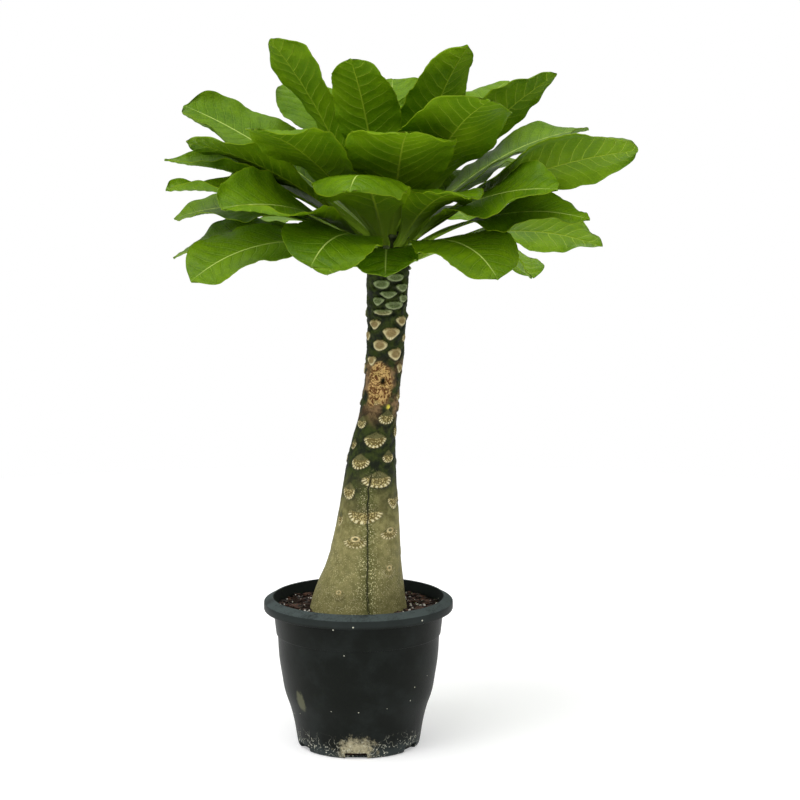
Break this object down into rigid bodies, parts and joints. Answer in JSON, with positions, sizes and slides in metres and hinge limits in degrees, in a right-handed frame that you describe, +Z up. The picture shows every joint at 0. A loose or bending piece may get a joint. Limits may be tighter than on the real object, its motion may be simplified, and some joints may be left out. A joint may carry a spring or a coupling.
{
  "type": "potted hawaiian palm",
  "caption": "Swollen-stemmed succulent with a crown of large spoon-shaped leaves, standing in a round nursery pot of soil.",
  "frame": {"origin": "centre of the pot's underside, on the surface that it stands on", "axes": "+Z up along the trunk, -Y towards the front"},
  "size_m": [0.4247, 0.3469, 0.6421],
  "materials": {
    "pot": "moulded matte plastic, nearly black, dusty and scuffed at the rim",
    "soil": "dark bark and peat mix with pale bits",
    "trunk": "matte fleshy bark, olive tan below and dark green above, with pale leaf scars",
    "leaf": "smooth fleshy leaf, satin, green"
  },
  "bodies": {
    "root": {"pot": "pot", "soil": "soil", "trunk": "trunk", "leaf_heart_front": "leaf", "leaf_heart_left": "leaf", "leaf_heart_back": "leaf", "leaf_upright_right": "leaf", "leaf_upright_centre": "leaf", "leaf_upright_left": "leaf", "leaf_back_centre": "leaf", "leaf_back_left": "leaf", "leaf_back_right": "leaf", "leaf_high_right": "leaf", "leaf_broad_right": "leaf", "leaf_back_upper": "leaf", "leaf_broad_front": "leaf", "leaf_high_left": "leaf", "leaf_high_left_front": "leaf", "leaf_back_middle": "leaf", "leaf_broad_left": "leaf", "leaf_side_right_back": "leaf", "leaf_back_left_middle": "leaf", "leaf_long_right": "leaf", "leaf_glossy_right": "leaf", "leaf_front": "leaf", "leaf_front_right": "leaf", "leaf_back_right_middle": "leaf", "leaf_middle_left": "leaf", "leaf_back_low_centre": "leaf", "leaf_middle_left_front": "leaf", "leaf_front_left": "leaf", "leaf_lower_right": "leaf", "leaf_back_low_left": "leaf", "leaf_low_left_back": "leaf", "leaf_low_right": "leaf", "leaf_low_back_right": "leaf", "leaf_low_back_left": "leaf", "leaf_drooping_front_left": "leaf", "leaf_drooping_front": "leaf", "leaf_drooping_right": "leaf", "leaf_lowest_left": "leaf", "leaf_lowest_left_front": "leaf", "leaf_lowest_back": "leaf", "leaf_lowest_right_back": "leaf", "leaf_lowest_right": "leaf", "leaf_lowest_back_left": "leaf"}
  },
  "joints": []
}
